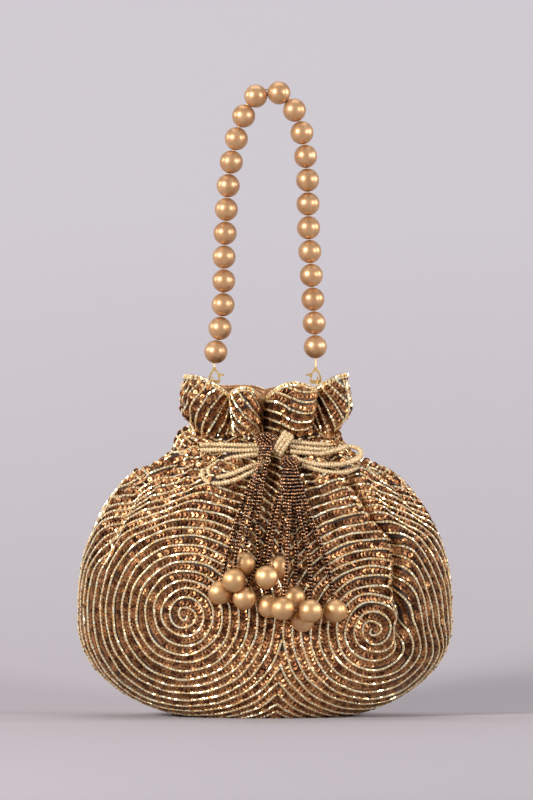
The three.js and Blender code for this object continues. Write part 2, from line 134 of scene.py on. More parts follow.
def wave(x, seed, *periods):
    """An uneven wave in x, between about -1 and 1."""
    total = 0.0
    for i, period in enumerate(periods):
        total = total + np.sin(2 * math.pi * x / period + 1.7 * seed + 2.1 * i)
    return total / len(periods)


def bump_at(distance, width):
    return np.exp(-((distance / width) ** 2))


def from_front(angle):
    """Degrees from the middle of the front, negative on the left."""
    return (np.degrees(angle) + 90 + 180) % 360 - 180


# Creases: side, heights and places across, how deep, and how much cloth each takes up
CREASES = (
    (1, [34, 60, 79, 94, 106, 113, 122, 150], [76, 81, 77.6, 78.6, 77.4, 70, 62, 45], 7.0, 11.0),
    (-1, [84, 96, 120, 150], [99, 94, 85, 66], 3.6, 9.0),
)
TROUGHS = [-31.0, -1.0, 46.0]
LOBE_EDGES = [-180, -135, -90, -31, -1, 46, 90, 135, 180]
LOBE_FROM, LOBE_TO = [-180, -90, -31, -1, 46, 90, 180], [-180, -90, -45, 0, 45, 90, 180]


def crease_reach(z, levels):
    """How strong a crease is at a height: it fades in and out at its ends."""
    return smooth((z - levels[0]) / 26) * (1 - smooth((z - levels[-1] + 12) / 18))


def dents(angle, z):
    """Creases, tufts and troughs as they lie in this bag."""
    turn = from_front(angle)
    x = half_width(z) * np.sin(np.radians(turn))
    front = np.abs(turn) < 90
    crease = 0.0
    for side, levels, places, deep, _ in CREASES:
        away = side * x - np.interp(z, levels, places)
        banks = 0.5 * bump_at(away - 8, 6) + 0.35 * bump_at(away + 8, 6)
        dip = banks - bump_at(away, 3.0)
        crease = crease + crease_reach(z, levels) * front * deep * dip
    left = np.abs((turn + 90 + 180) % 360 - 180)
    right = np.abs(turn - 90)
    tuft = 8.0 * bump_at(left, 13) * bump_at(z - 164.0, 4.2)
    tuft = tuft + 1.5 * bump_at(right, 15) * bump_at(z - 166.5, 4.2)
    slim = -(4.6 * bump_at(left, 30) + 7.0 * bump_at(right, 34)) * bump_at(z - 156, 10)
    middle = -1.8 * bump_at(x - 4, 5) * (1 - smooth((z - 40) / 40)) * smooth(z / 15) * front
    above = smooth((z - 165) / 14)
    trough = sum(bump_at(turn - place, 5.0) for place in TROUGHS) * -9.5 * above
    rise = np.clip((z - NECK) / FRILL, 0, 1)
    lobe = np.abs(np.sin(math.pi * np.interp(turn, LOBE_EDGES, range(len(LOBE_EDGES)))))
    puff = 5.2 * np.sin(math.pi * rise**0.8) * lobe
    puff = puff * (1 - 0.75 * bump_at(left, 34) - 0.35 * bump_at(right, 30))
    pulled = turn + 0.28 * (z - 130) * np.sign(turn)
    folded = smooth((z - 98) / 34) * (1 - smooth((z - 153) / 10))
    belly_fold = folded * wave(pulled, 0.6, 34.0, 21.0) * 3.4
    return crease + tuft + slim + middle + trough + puff + belly_fold


def folds(angle, z):
    """Small gathers that the source is too coarse for."""
    round_way = angle * 180 / math.pi
    uneven = round_way + 3.2 * wave(round_way, 1.0, 47.0, 29.0)
    near = smooth((z - 112) / 42) * (1 - smooth((z - 170) / 5))
    fine = 1.25 * np.sin(uneven * math.pi / 5.4) + 0.5 * np.sin(uneven * math.pi / 2.9 + 0.6)
    held = 1 - 0.7 * bump_at(z - 161.5, 4.5)
    ripple = 0.8 * np.sin(uneven * math.pi / 7.1 + z / 9) + 0.35 * np.sin(uneven * math.pi / 3.7)
    return near * fine * held + smooth((z - 172) / 14) * ripple


def cloth(angle, z, inset=0.0):
    """Points on the cloth, as an array of x, y, z."""
    angle, z = np.broadcast_arrays(np.asarray(angle, float), np.asarray(z, float))
    w, d = half_width(z), half_depth(z)
    step = 0.05
    dw = (half_width(z + step) - half_width(z - step)) / (2 * step)
    dd = (half_depth(z + step) - half_depth(z - step)) / (2 * step)
    c, s = np.cos(angle), np.sin(angle)
    normal = np.stack([d * c, w * s, -(w * dd * s * s + d * dw * c * c)], -1)
    normal /= np.linalg.norm(normal, axis=-1, keepdims=True)
    out = gather(angle, z) + folds(angle, z) + dents(angle, z) - inset
    return np.stack([w * c, d * s, z], -1) + normal * out[..., None]


def cloth_frame(angle, z):
    """Points on the cloth and its true normals there."""
    step_angle, step_z = 0.004, 0.2
    point = cloth(angle, z)
    across = cloth(angle + step_angle, z) - cloth(angle - step_angle, z)
    up = cloth(angle, z + step_z) - cloth(angle, z - step_z)
    normal = np.cross(across, up)
    return point, normal / np.linalg.norm(normal, axis=-1, keepdims=True)


def front_point(x, z, lift=0.0):
    """A point in front of the pleated cloth, at a lift from it."""
    x, z = np.asarray(x, float), np.asarray(z, float)
    depth = half_depth(z) + 1.5 * PLEAT_DEPTH * smooth((z - 105) / 62)
    y = -depth * np.sqrt(1 - np.minimum(np.abs(x) / half_width(z), 1) ** 2) - lift
    return np.stack(np.broadcast_arrays(x, y, z), -1)


# Meshes
def link(obj, body):
    bpy.context.scene.collection.objects.link(obj)
    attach(obj, body)
    return obj


def mesh_piece(name, points, faces, body, material, shade=True):
    """A piece from points in millimetres, and one array of faces or a list of such arrays."""
    groups = faces if isinstance(faces, list) else [faces]
    mesh = bpy.data.meshes.new(name)
    points = np.asarray(points, float).reshape(-1, 3) * MM
    mesh.vertices.add(len(points))
    mesh.vertices.foreach_set("co", points.astype(np.float32).ravel())
    loops = np.concatenate([np.asarray(g).ravel() for g in groups])
    sizes = np.concatenate([np.full(len(g), np.asarray(g).shape[1]) for g in groups])
    starts = np.concatenate([[0], np.cumsum(sizes)[:-1]])
    mesh.loops.add(len(loops))
    mesh.loops.foreach_set("vertex_index", loops.astype(np.int32))
    mesh.polygons.add(len(sizes))
    mesh.polygons.foreach_set("loop_start", starts.astype(np.int32))
    mesh.polygons.foreach_set("use_smooth", np.full(len(sizes), shade))
    mesh.update(calc_edges=True)
    mesh.validate()
    mesh.materials.append(material)
    return link(bpy.data.objects.new(name, mesh), body)


def grid_faces(rows, columns, closed=False):
    """Four-sided faces between the rows of a grid of points."""
    r = np.arange(rows - 1)[:, None]
    c = np.arange(columns if closed else columns - 1)[None, :]
    n = (c + 1) % columns
    low, high = r * columns, (r + 1) * columns
    return np.stack([low + c, low + n, high + n, high + c], -1).reshape(-1, 4)


def copies(points, faces, origins, axes):
    """Copies of a small mesh, each at its own origin with its own three axes."""
    count, size = len(origins), len(points)
    moved = origins[:, None, :] + np.einsum("vk,nkj->nvj", points, axes)
    shift = np.arange(count)[:, None, None] * size
    groups = [(f[None] + shift).reshape(-1, f.shape[1]) for f in faces]
    return moved.reshape(-1, 3), groups


def lathe(profile, sides):
    """A closed turned form about the third axis from (radius, height) pairs."""
    turn = np.arange(sides) * 2 * math.pi / sides
    ring = np.stack([np.cos(turn), np.sin(turn)], -1)
    points = [np.concatenate([r * ring, np.full((sides, 1), h)], -1) for r, h in profile]
    return np.concatenate(points), grid_faces(len(profile), sides, True)


def bead_form(radius, length, bore, sides, rings):
    """A round bead with a drilled hole along the third axis."""
    reach = math.acos(min(bore / radius, 1))
    profile = [(bore * 0.8, -length / 2 * math.sin(reach) * 0.8)]
    for a in np.linspace(-reach, reach, rings):
        profile.append((radius * math.cos(a), length / 2 * math.sin(a)))
    profile += [(bore * 0.8, length / 2 * math.sin(reach) * 0.8)]
    return lathe(profile, sides)


def unit(v):
    return v / np.maximum(np.linalg.norm(v, axis=-1, keepdims=True), 1e-9)


def frames_along(tangent, normal):
    """Axes for copies: first across, second along the row, third out of the cloth."""
    along = unit(tangent)
    out = unit(normal - along * (normal * along).sum(-1, keepdims=True))
    return np.stack([np.cross(along, out), along, out], 1)


def turned(axes, about, angle):
    """The same axes, each turned about one of its own by its angle."""
    a, b = [(1, 2), (2, 0), (0, 1)][about]
    c, s = np.cos(angle)[:, None], np.sin(angle)[:, None]
    out = axes.copy()
    out[:, a], out[:, b] = axes[:, a] * c + axes[:, b] * s, axes[:, b] * c - axes[:, a] * s
    return out


def along_line(path):
    """How far along a line each of its points is."""
    return np.concatenate([[0], np.cumsum(np.linalg.norm(np.diff(path, axis=0), axis=1))])


def even_steps(path, pitch):
    """Places at an even pitch along a line, and how far along it its points are."""
    length = along_line(path)
    count = int(length[-1] // pitch)
    if count < 1:
        return np.zeros((0,)), length
    return (np.arange(count) + 0.5) * length[-1] / count, length


def spline(points, step=0.5):
    """A centripetal Catmull-Rom line through points."""
    p = np.asarray(points, float)
    p = np.concatenate([[2 * p[0] - p[1]], p, [2 * p[-1] - p[-2]]])
    line = []
    for i in range(1, len(p) - 2):
        a, b, c, d = p[i - 1 : i + 3]
        t0 = 0.0
        t1 = t0 + np.linalg.norm(b - a) ** 0.5
        t2 = t1 + np.linalg.norm(c - b) ** 0.5
        t3 = t2 + np.linalg.norm(d - c) ** 0.5
        count = max(2, int(np.linalg.norm(c - b) / step))
        t = np.linspace(t1, t2, count, endpoint=False)[:, None]
        a1 = (t1 - t) / (t1 - t0) * a + (t - t0) / (t1 - t0) * b
        a2 = (t2 - t) / (t2 - t1) * b + (t - t1) / (t2 - t1) * c
        a3 = (t3 - t) / (t3 - t2) * c + (t - t2) / (t3 - t2) * d
        b1 = (t2 - t) / (t2 - t0) * a1 + (t - t0) / (t2 - t0) * a2
        b2 = (t3 - t) / (t3 - t1) * a2 + (t - t1) / (t3 - t1) * a3
        line.append((t2 - t) / (t2 - t1) * b1 + (t - t1) / (t2 - t1) * b2)
    return np.concatenate(line + [p[-2:-1]])


def at(path, length, where):
    """Points and directions at places along a line."""
    point = np.stack([np.interp(where, length, path[:, k]) for k in range(3)], -1)
    ahead = np.stack([np.interp(where + 0.4, length, path[:, k]) for k in range(3)], -1)
    behind = np.stack([np.interp(where - 0.4, length, path[:, k]) for k in range(3)], -1)
    return point, unit(ahead - behind)


# Materials
class Sock:
    """One value among the nodes, with plain arithmetic."""

    def __init__(self, nodes, socket):
        self.nodes, self.socket = nodes, socket

    def math(self, operation, other=None, first=False):
        pair = [other, self] if first else [self, other]
        inputs = {i: value for i, value in enumerate(pair) if value is not None}
        return self.nodes.node("ShaderNodeMath", 0, inputs, operation=operation)

    def most(self, other):
        return self.math("MAXIMUM", other)

    def __add__(self, other):
        return self.math("ADD", other)

    def __radd__(self, other):
        return self.math("ADD", other, True)

    def __sub__(self, other):
        return self.math("SUBTRACT", other)

    def __rsub__(self, other):
        return self.math("SUBTRACT", other, True)

    def __mul__(self, other):
        return self.math("MULTIPLY", other)

    def __rmul__(self, other):
        return self.math("MULTIPLY", other, True)


class Nodes:
    """The nodes of a material or of the world."""

    def __init__(self, tree):
        self.tree = tree

    def put(self, place, value):
        if isinstance(value, Sock):
            self.tree.links.new(value.socket, place)
        elif isinstance(value, (tuple, list)) and place.type == "RGBA":
            place.default_value = (*value, 1.0)[:4]
        else:
            place.default_value = value

    def node(self, kind, output=0, inputs=(), **settings):
        node = self.tree.nodes.new(kind)
        for key, value in settings.items():
            setattr(node, key, value)
        for key, value in dict(inputs).items():
            self.put(node.inputs[key], value)
        return Sock(self, node.outputs[output])

    def mix(self, share, a, b):
        return self.node("ShaderNodeMix", 2, {0: share, 6: a, 7: b}, data_type="RGBA")

    def mix_shader(self, share, a, b):
        return self.node("ShaderNodeMixShader", 0, {0: share, 1: a, 2: b})


class Paint(Nodes):
    """A material with one principled shader."""

    def __init__(self, name, **settings):
        self.material = bpy.data.materials.new(name)
        self.material.use_nodes = True
        super().__init__(self.material.node_tree)
        self.shader = self.tree.nodes["Principled BSDF"]
        for key, value in settings.items():
            self.set(key.replace("_", " "), value)

    def set(self, key, value):
        self.put(self.shader.inputs[key], value)

    def place(self, axis=None):
        """The place on the object, or one part of it."""
        place = self.node("ShaderNodeTexCoord", "Object")
        return self.node("ShaderNodeSeparateXYZ", axis, {"Vector": place}) if axis else place

    def noise(self, scale, detail=2.0):
        inputs = {"Scale": scale, "Detail": detail, "Vector": self.place()}
        return self.node("ShaderNodeTexNoise", "Fac", inputs)

    def ramp(self, value, low, high):
        """0 to 1 as a value goes from low to high."""
        inputs = {"Value": value, "From Min": low, "From Max": high}
        return self.node("ShaderNodeMapRange", "Result", inputs)

    def bump(self, height, strength, distance):
        inputs = {"Height": height, "Strength": strength, "Distance": distance}
        self.set("Normal", self.node("ShaderNodeBump", "Normal", inputs))


def rgb(red, green, blue):
    """A colour as seen on screen, made linear."""
    seen = [v / 255 for v in (red, green, blue)]
    return tuple(v / 12.92 if v < 0.04 else ((v + 0.055) / 1.055) ** 2.4 for v in seen)


def make_ground():
    paint = Paint("embroidery_ground", Roughness=0.6, Sheen_Weight=0.3)
    weave = paint.noise(900.0, 2.0)
    paint.set("Base Color", paint.mix(weave, rgb(38, 18, 7), rgb(66, 36, 17)))
    paint.bump(weave, 0.4, 0.0003)
    return paint.material


def make_sequins():
    paint = Paint("copper_sequins", Metallic=0.8)
    tone = paint.ramp(paint.noise(260.0, 2.0), 0.34, 0.66)
    paint.set("Base Color", paint.mix(tone, rgb(88, 44, 20), rgb(204, 146, 96)))
    worn = paint.ramp(paint.noise(300.0), 0.3, 0.7)
    paint.set("Roughness", 0.22 + 0.18 * worn)
    return paint.material


def make_cut_beads():
    paint = Paint("gold_cut_beads", Metallic=0.6, Roughness=0.24)
    tone = paint.ramp(paint.noise(500.0, 2.0), 0.35, 0.65)
    paint.set("Base Color", paint.mix(tone, rgb(246, 202, 128), rgb(255, 250, 220)))
    return paint.material


def make_satin():
    paint = Paint("satin_lining", Roughness=0.38, Metallic=0.15, Sheen_Weight=0.4)
    thread = paint.noise(1500.0, 1.0)
    paint.set("Base Color", paint.mix(thread, rgb(150, 98, 52), rgb(182, 128, 74)))
    paint.bump(thread, 0.15, 0.0001)
    return paint.material


def make_cord():
    paint = Paint("gold_cord", Roughness=0.45, Metallic=0.2)
    # The noise runs from brown to cream: partly the thread's own tone, partly painted shade
    # between the braid's strands.
    thread = paint.ramp(paint.noise(1300.0, 2.0), 0.36, 0.62)
    paint.set("Base Color", paint.mix(thread, rgb(176, 134, 78), rgb(252, 230, 186)))
    paint.bump(thread, 0.3, 0.0002)
    return paint.material


def make_antique_pearl():
    coat = {"Coat_Weight": 0.15, "Coat_Roughness": 0.35}
    paint = Paint("antique_pearl", Metallic=0.65, Roughness=0.38, **coat)
    tone = paint.ramp(paint.noise(160.0, 3.0), 0.3, 0.7)
    paint.set("Base Color", paint.mix(tone, rgb(184, 138, 94), rgb(214, 172, 128)))
    paint.bump(paint.noise(700.0, 2.0), 0.05, 0.0002)
    return paint.material


def make_gold_pearl():
    coat = {"Coat_Weight": 0.08, "Coat_Roughness": 0.35}
    paint = Paint("gold_pearl", Metallic=0.8, Roughness=0.44, **coat)
    tone = paint.ramp(paint.noise(160.0, 3.0), 0.3, 0.7)
    paint.set("Base Color", paint.mix(tone, rgb(196, 150, 98), rgb(222, 182, 132)))
    return paint.material


def make_seed_beads():
    coat = {"Coat_Weight": 1.0, "Coat_Roughness": 0.06}
    paint = Paint("bronze_seed_beads", Metallic=0.9, Roughness=0.24, **coat)
    tone = paint.ramp(paint.noise(600.0, 1.0), 0.4, 0.6)
    paint.set("Base Color", paint.mix(tone, rgb(66, 38, 20), rgb(184, 130, 82)))
    return paint.material


def make_thread_and_gap_shade():
    # Near-black thread with no shine: partly the thread's own colour, partly painted shade in the
    # gaps between the beads.
    paint = Paint("thread_and_painted_gap_shade", Roughness=1.0, Specular_IOR_Level=0.0)
    paint.set("Base Color", paint.mix(paint.noise(2000.0, 1.0), rgb(8, 4, 2), rgb(18, 10, 6)))
    return paint.material


def make_metal():
    paint = Paint("gilt_metal", Metallic=1.0, Base_Color=rgb(240, 204, 132))
    dulled = paint.ramp(paint.noise(400.0, 3.0), 0.3, 0.7)
    paint.set("Roughness", 0.3 + 0.15 * dulled)
    return paint.material


ground, sequins, cut_beads = make_ground(), make_sequins(), make_cut_beads()
satin, cord_thread, metal = make_satin(), make_cord(), make_metal()
antique_pearl, gold_pearl, seed_beads = make_antique_pearl(), make_gold_pearl(), make_seed_beads()
thread = make_thread_and_gap_shade()


# The cloth
# Height of the hem at the troughs and at the top of each lobe
HEM_EDGES = [195, 196, 204.6, 189.0, 188.5, 192.5, 203.0, 194, 195]
HEM_TOPS = [198, 199, 205.0, 197.6, 200.4, 205.6, 196, 197, 197]


def hem(angle):
    """Where the frill's edge is: an arch over each lobe."""
    edges = range(len(LOBE_EDGES))
    place = np.interp(from_front(angle), LOBE_EDGES, edges)
    lobe = np.minimum(place.astype(int), LOBES - 1)
    low = np.interp(place, edges, HEM_EDGES)
    top = np.array(HEM_TOPS)[lobe]
    return low + (top - low) * np.sin(math.pi * (place - lobe)) ** 0.7 + 0.4 * np.sin(place * 9)


def heights(count, top):
    """Heights up each line of the cloth, closer together near the base, where it turns under."""
    turned_under = 40 / HEM
    low = np.linspace(0, 1, count // 3)[:-1] ** 1.8 * turned_under
    share = np.concatenate([low, np.linspace(turned_under, 1, count - len(low))])
    return share[:, None] * top[None, :]


def make_panel(name, first, last, node):
    angle = np.linspace(first, last, 170)
    z = heights(130, hem(angle))
    piece = mesh_piece(name, cloth(angle[None, :], z), grid_faces(*z.shape), "bag", ground)
    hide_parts(node)
    return piece


front_cloth = make_panel("front_cloth", -math.pi, 0.0, "front_panel")
back_cloth = make_panel("back_cloth", 0.0, math.pi, "back_panel")


def make_lining():
    """The lining inside both panels, turned out over their edge at the hem."""
    inside = 1.4
    angle = np.linspace(-math.pi, math.pi, 241)[:-1]
    top = hem(angle) + 0.35
    z = heights(90, top)
    inner = cloth(angle[None, :], np.maximum(z, inside), inside)
    over = cloth(angle[None, :], top[None, :], 0.1)
    points = np.concatenate([inner.reshape(-1, 3), over.reshape(-1, 3)])
    faces = grid_faces(len(z) + 1, len(angle), True)[:, ::-1]
    piece = mesh_piece("satin_lining", points, faces, "bag", satin)
    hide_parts("lining")
    return piece


satin_lining = make_lining()


# Each cord as [x, height, lift off the cloth]
CORDS = {
    "drawcord_left_upper": [
        (-38.6, 163, 1.6), (-33, 163.4, 0.9), (-20, 163.2, 0.8), (-8, 163, 0.8), (5.3, 163.6, 1),
    ],
    "drawcord_left_lower": [
        (-38.2, 159.8, 1.6), (-32, 160.2, 0.9), (-19, 160.1, 0.8), (-8, 160.3, 0.8),
        (4.6, 160.8, 1.2),
    ],
    "drawcord_right_upper": [
        (15, 165.4, 1), (23, 164.4, 0.9), (31, 163.6, 1), (38.2, 163.2, 1.8),
    ],
    "drawcord_right_lower": [
        (15, 162.4, 0.8), (22, 161.6, 0.8), (30, 160.7, 0.9), (38, 160.3, 1.6),
    ],
    "bow_left_loop": [
        (3.4, 158, 0.3), (-8, 157.4, 0.3), (-20, 155.6, 0.3), (-29, 152.6, 0.3),
        (-33.6, 148.6, 0.4), (-31.6, 144.8, 0.5), (-24, 145, 0.4), (-14, 148.6, 0.3),
        (-4, 152.4, 0.3), (3, 154.6, 0.3),
    ],
    "bow_left_lower_loop": [
        (-2, 150.3, 0.5), (-10, 146.2, 0.4), (-20, 142, 0.4), (-30, 140.6, 0.5),
        (-36.6, 143.4, 0.5), (-37.4, 148.4, 0.5),
    ],
    "bow_right_upper_loop": [
        (15, 159.6, 0.3), (24, 158.6, 0.4), (33, 157.9, 1.4), (42, 160, 4.4), (50, 162, 9),
        (56, 160.6, 12), (57, 156.6, 12.4), (51, 153.2, 9), (42, 151.6, 5.4), (31, 152, 4.2),
        (22, 154, 1.6), (16, 156.4, 0.5),
    ],
    "bow_right_lower_loop": [
        (22, 151.4, 1), (30, 149.1, 1), (40, 146.9, 1.4), (49, 147.4, 2.2), (55.6, 150.2, 3.2),
    ],
}
BEAD_ROOM = 0.75


def cord_path(route):
    x, z, lift = np.array(route, float).T
    return spline(front_point(x, z, lift + CORD_SEAT))


cord_lines = np.concatenate([cord_path(route) for route in CORDS.values()])


def clear_of_cords(points):
    """Which points leave room for the cords that lie on the cloth."""
    clear = np.ones(len(points), bool)
    for some in np.array_split(cord_lines, 12):
        near = ((points[:, None, :] - some[None]) ** 2).sum(-1).min(1)
        clear &= near > (CORD / 2 + BEAD_ROOM) ** 2
    return clear


# The beadwork: its rows follow two spirals on each panel, drawn on the cloth as it lay flat.
# flat_t is the way up the flat cloth at each height, and lean_arc the way across it.
FLAT_STEP = 0.25
flat_z = np.arange(0, 206, FLAT_STEP)
slope_w = np.gradient(half_width(flat_z), FLAT_STEP)
slope_d = np.gradient(half_depth(flat_z), FLAT_STEP)
flat_t = np.cumsum(np.sqrt(1 + (0.45 * slope_w) ** 2 + (0.9 * slope_d) ** 2)) * FLAT_STEP
lean = np.linspace(0, math.pi / 2, 200)
lean_arc = np.cumsum(np.sqrt(np.cos(lean) ** 2 + (0.495 * np.sin(lean)) ** 2))
lean_arc = (lean_arc - lean_arc[0]) / (lean_arc[-1] - lean_arc[0])


def quarter(z):
    """The flat cloth's half width at a height, with what the gathers take up."""
    w, d = half_width(z), half_depth(z)
    ratio = ((w - d) / (w + d)) ** 2
    around = math.pi * (w + d) * (1 + 3 * ratio / (10 + np.sqrt(4 - 3 * ratio)))
    return around / 4 * (1 + 0.7 * smooth((z - 105) / 55))


def to_flat(x, z):
    """Across and up the flat cloth, from a place seen from the front."""
    share = math.asin(max(-1, min(1, x / float(half_width(z)))))
    s = math.copysign(np.interp(abs(share), lean, lean_arc), x) * float(quarter(z))
    return s, float(np.interp(z, flat_z, flat_t))


def from_flat(s, t, back):
    """Turn from the panel's middle, height, and the share of the way to the seam."""
    z = np.interp(t, flat_t, flat_z)
    for side, levels, places, _, taken in () if back else CREASES:
        line = np.array([to_flat(side * x, h) for x, h in zip(places, levels)])
        past = side * s - np.interp(t, line[:, 1], side * line[:, 0])
        s = s - side * taken * crease_reach(z, levels) * smooth((past + 2) / 7)
    share = s / quarter(z)
    turn = np.interp(np.abs(share), lean_arc, lean) * np.sign(share)
    return turn, z, np.abs(share)


# The spirals stop just short of the seams, the base and the frill
FRILL_START, BASE_EDGE, SEAM_EDGE = 168.5, 4, 0.985
SPIRAL_REACH, SPIRAL_POINTS, SPIRAL_TURN = 230.0, 90000, 1.2


def runs_where(inside, angle, z):
    """The unbroken runs of a line that lie inside, each as angles and heights."""
    edges = np.flatnonzero(np.diff(inside.astype(int)))
    runs, start = [], 0
    for stop in list(edges + 1) + [len(inside)]:
        if inside[start] and stop - start > 3:
            runs.append((angle[start:stop], z[start:stop]))
        start = stop
    return runs


def spiral_rows(centre, other, offset, bias, side, back):
    """Runs of a spiral on one panel, up to where the other spiral's rows are nearer."""
    s0, t0 = to_flat(*centre)
    s1, t1 = to_flat(*other)
    r = np.sqrt(np.linspace(0.00002, 1, SPIRAL_POINTS)) * SPIRAL_REACH
    theta = (r - offset) * 2 * math.pi / ROW_PITCH
    wobble = 0.34 * np.sin(theta * 2.7) + 0.3 * np.sin(theta * 0.63 + r / 9)
    wobble = wobble + 0.22 * np.sin(r * theta / 7.3)
    s = s0 + (r + wobble) * np.cos(-theta * side + SPIRAL_TURN)
    t = t0 + (r + wobble) * np.sin(-theta * side + SPIRAL_TURN)
    turn, z, share = from_flat(s, t, back)
    far = np.hypot(s - s1, t - t1)
    angle = -math.pi / 2 + turn
    inside = (share < SEAM_EDGE) & (t > BASE_EDGE) & (z < FRILL_START) & (r < far + bias)
    return runs_where(inside, angle, z)


# Where each lobe of the frill starts and ends, and the lean of its rows, all in degrees
FRILL_LOBES = (
    (-78, -31, 50), (-31, -1, -46), (-1, 46, -8), (46, 66, -48), (71, 90, 56),
    (90, 135, -38), (135, 180, 34), (-180, -135, -36), (-135, -90, 42),
    (-90, -84, 50),
)
LOBE_MARGIN, HEM_MARGIN = 1.2, 1.8
LOBE_MIDDLE, LOBE_MEASURE = 186, 188.0


def frill_rows(offset):
    """Straight rows across each lobe of the frill, as angles and heights."""
    runs = []
    for first, last, slant in FRILL_LOBES:
        angle = np.radians(np.linspace(first + LOBE_MARGIN, last - LOBE_MARGIN, 160) - 90)
        along = along_line(cloth(angle, np.full(160, LOBE_MEASURE)))
        cos, sin = math.cos(math.radians(slant)), math.sin(math.radians(slant))
        reach = np.arange(-60, 60, 0.3)
        for k in range(-14, 15):
            off = (k + offset) * ROW_PITCH
            u = along[-1] / 2 + reach * cos - off * sin
            z = LOBE_MIDDLE + reach * sin + off * cos + 1.3 * np.sin(u / 5.5 + first)
            here = np.interp(u, along, angle)
            inside = (u > 0) & (u < along[-1]) & (z > FRILL_START) & (z < hem(here) - HEM_MARGIN)
            runs += runs_where(inside, here, z)
    return runs


def place_on(runs, pitch, back):
    """Points, directions and normals at an even pitch along the runs."""
    found = []
    for run, z in runs:
        angle = run + math.pi * back
        path = cloth(angle, z)
        where, length = even_steps(path, pitch)
        if len(where):
            here, height = np.interp(where, length, angle), np.interp(where, length, z)
            point, normal = cloth_frame(here, height)
            found.append((point, at(path, length, where)[1], normal))
    return [np.concatenate(kind) for kind in zip(*found)]


def cut_bead_form():
    """A six-sided tube bead that lies along the row."""
    turn = (np.arange(6) + 0.5) * math.pi / 3
    x, z = CUT_WIDTH / 2 * np.cos(turn), CUT_WIDTH / 2 * np.sin(turn)
    rings = [np.stack([x, np.full(6, y), z], -1) for y in (-CUT_LENGTH / 2, CUT_LENGTH / 2)]
    caps = [np.array([[5, 4, 3, 2, 1, 0]]), np.array([[6, 7, 8, 9, 10, 11]])]
    return np.concatenate(rings), [grid_faces(2, 6, True)[:, ::-1]] + caps


def sequin_form():
    """A cupped disc with a hole."""
    profile = [(SEQUIN_HOLE / 2, 0.0), (SEQUIN * 0.32, 0.04), (SEQUIN / 2, SEQUIN_CUP)]
    points, faces = lathe(profile, 10)
    return points, [faces]


# Each spiral's centre, the other's centre, how far it reaches past the middle, and its hand
SPIRALS = (
    ((-47.4, 62.4), (64.5, 53.4), 4.0, 1),
    ((64.5, 53.4), (-47.4, 62.4), -4.0, -1),
)


def sew(name, form, faces, point, normal, axes, lift, material):
    """Copies of a bead or sequin on the cloth, with none where a cord lies."""
    clear = clear_of_cords(point + normal)
    points, groups = copies(form, faces, (point + normal * lift)[clear], axes[clear])
    piece = mesh_piece(name, points, groups, "bag", material, False)
    return piece


def sew_cut_beads(name, runs, back=False):
    point, ahead, normal = place_on(runs, CUT_PITCH, back)
    axes = frames_along(ahead, normal)
    axes = turned(axes, 2, chance.normal(0, 0.07, len(point)))
    axes = turned(axes, 1, chance.uniform(0, 1.0, len(point)))
    return sew(name, *cut_bead_form(), point, normal, axes, 0.75, cut_beads)


def sew_sequins(name, runs, back=False):
    point, ahead, normal = place_on(runs, SEQUIN_PITCH, back)
    axes = turned(frames_along(ahead, normal), 0, 0.3 + chance.normal(0, 0.13, len(point)))
    axes = turned(axes, 1, chance.normal(0, 0.15, len(point)))
    return sew(name, *sequin_form(), point, normal, axes, 0.6, sequins)


def make_beadwork():
    for name, panel, back in (("front", front_cloth, False), ("back", back_cloth, True)):
        for i, (centre, other, bias, side) in enumerate(SPIRALS):
            rows = spiral_rows(centre, other, 0.0, bias, side, back)
            between = spiral_rows(centre, other, ROW_PITCH / 2, bias, side, back)
            sew_cut_beads(f"{name}_cut_beads_{i + 1}", rows, back)
            sew_sequins(f"{name}_sequins_{i + 1}", between, back)
    sew_cut_beads("frill_cut_beads", frill_rows(0.0))
    sew_sequins("frill_sequins", frill_rows(0.5))


make_beadwork()


# Extra rows where the shoulders turn in to the neck: height, and half their reach in radians
SHOULDER_ROWS = (
    (143.0, 0.34), (146.6, 0.4), (150.0, 0.46), (153.2, 0.54), (156.0, 0.72), (158.4, 0.84),
    (160.6, 0.9), (162.6, 0.9), (164.4, 0.8), (166.2, 0.7), (168.0, 0.6),
)


def make_edge_beads():
    """Rows along the hem, the frill's sides and the side seams, and short ones beside the neck."""
    angle = np.linspace(-math.pi, math.pi, 900)
    lines = [(angle, hem(angle) - 0.4), (angle, hem(angle) - 1.9)]
    for turn in (-83, -79, 66.5, 70.5):
        lines.append((np.full(200, math.radians(turn - 90)), np.linspace(168, 202, 200)))
    z = np.linspace(6, 196, 500)
    for centre in (0.0, math.pi):
        for shift in (-1, 1):
            lines.append((centre + shift * 2.4 / half_depth(z), z))
        for height, reach in SHOULDER_ROWS:
            lines.append((centre + np.linspace(-reach, reach, 120), np.full(120, height)))
    sew_cut_beads("edge_beads", lines)
    sew_sequins("shoulder_sequins", [(turn, z + 1.1) for turn, z in lines[2:] if z[0] == z[-1]])


make_edge_beads()


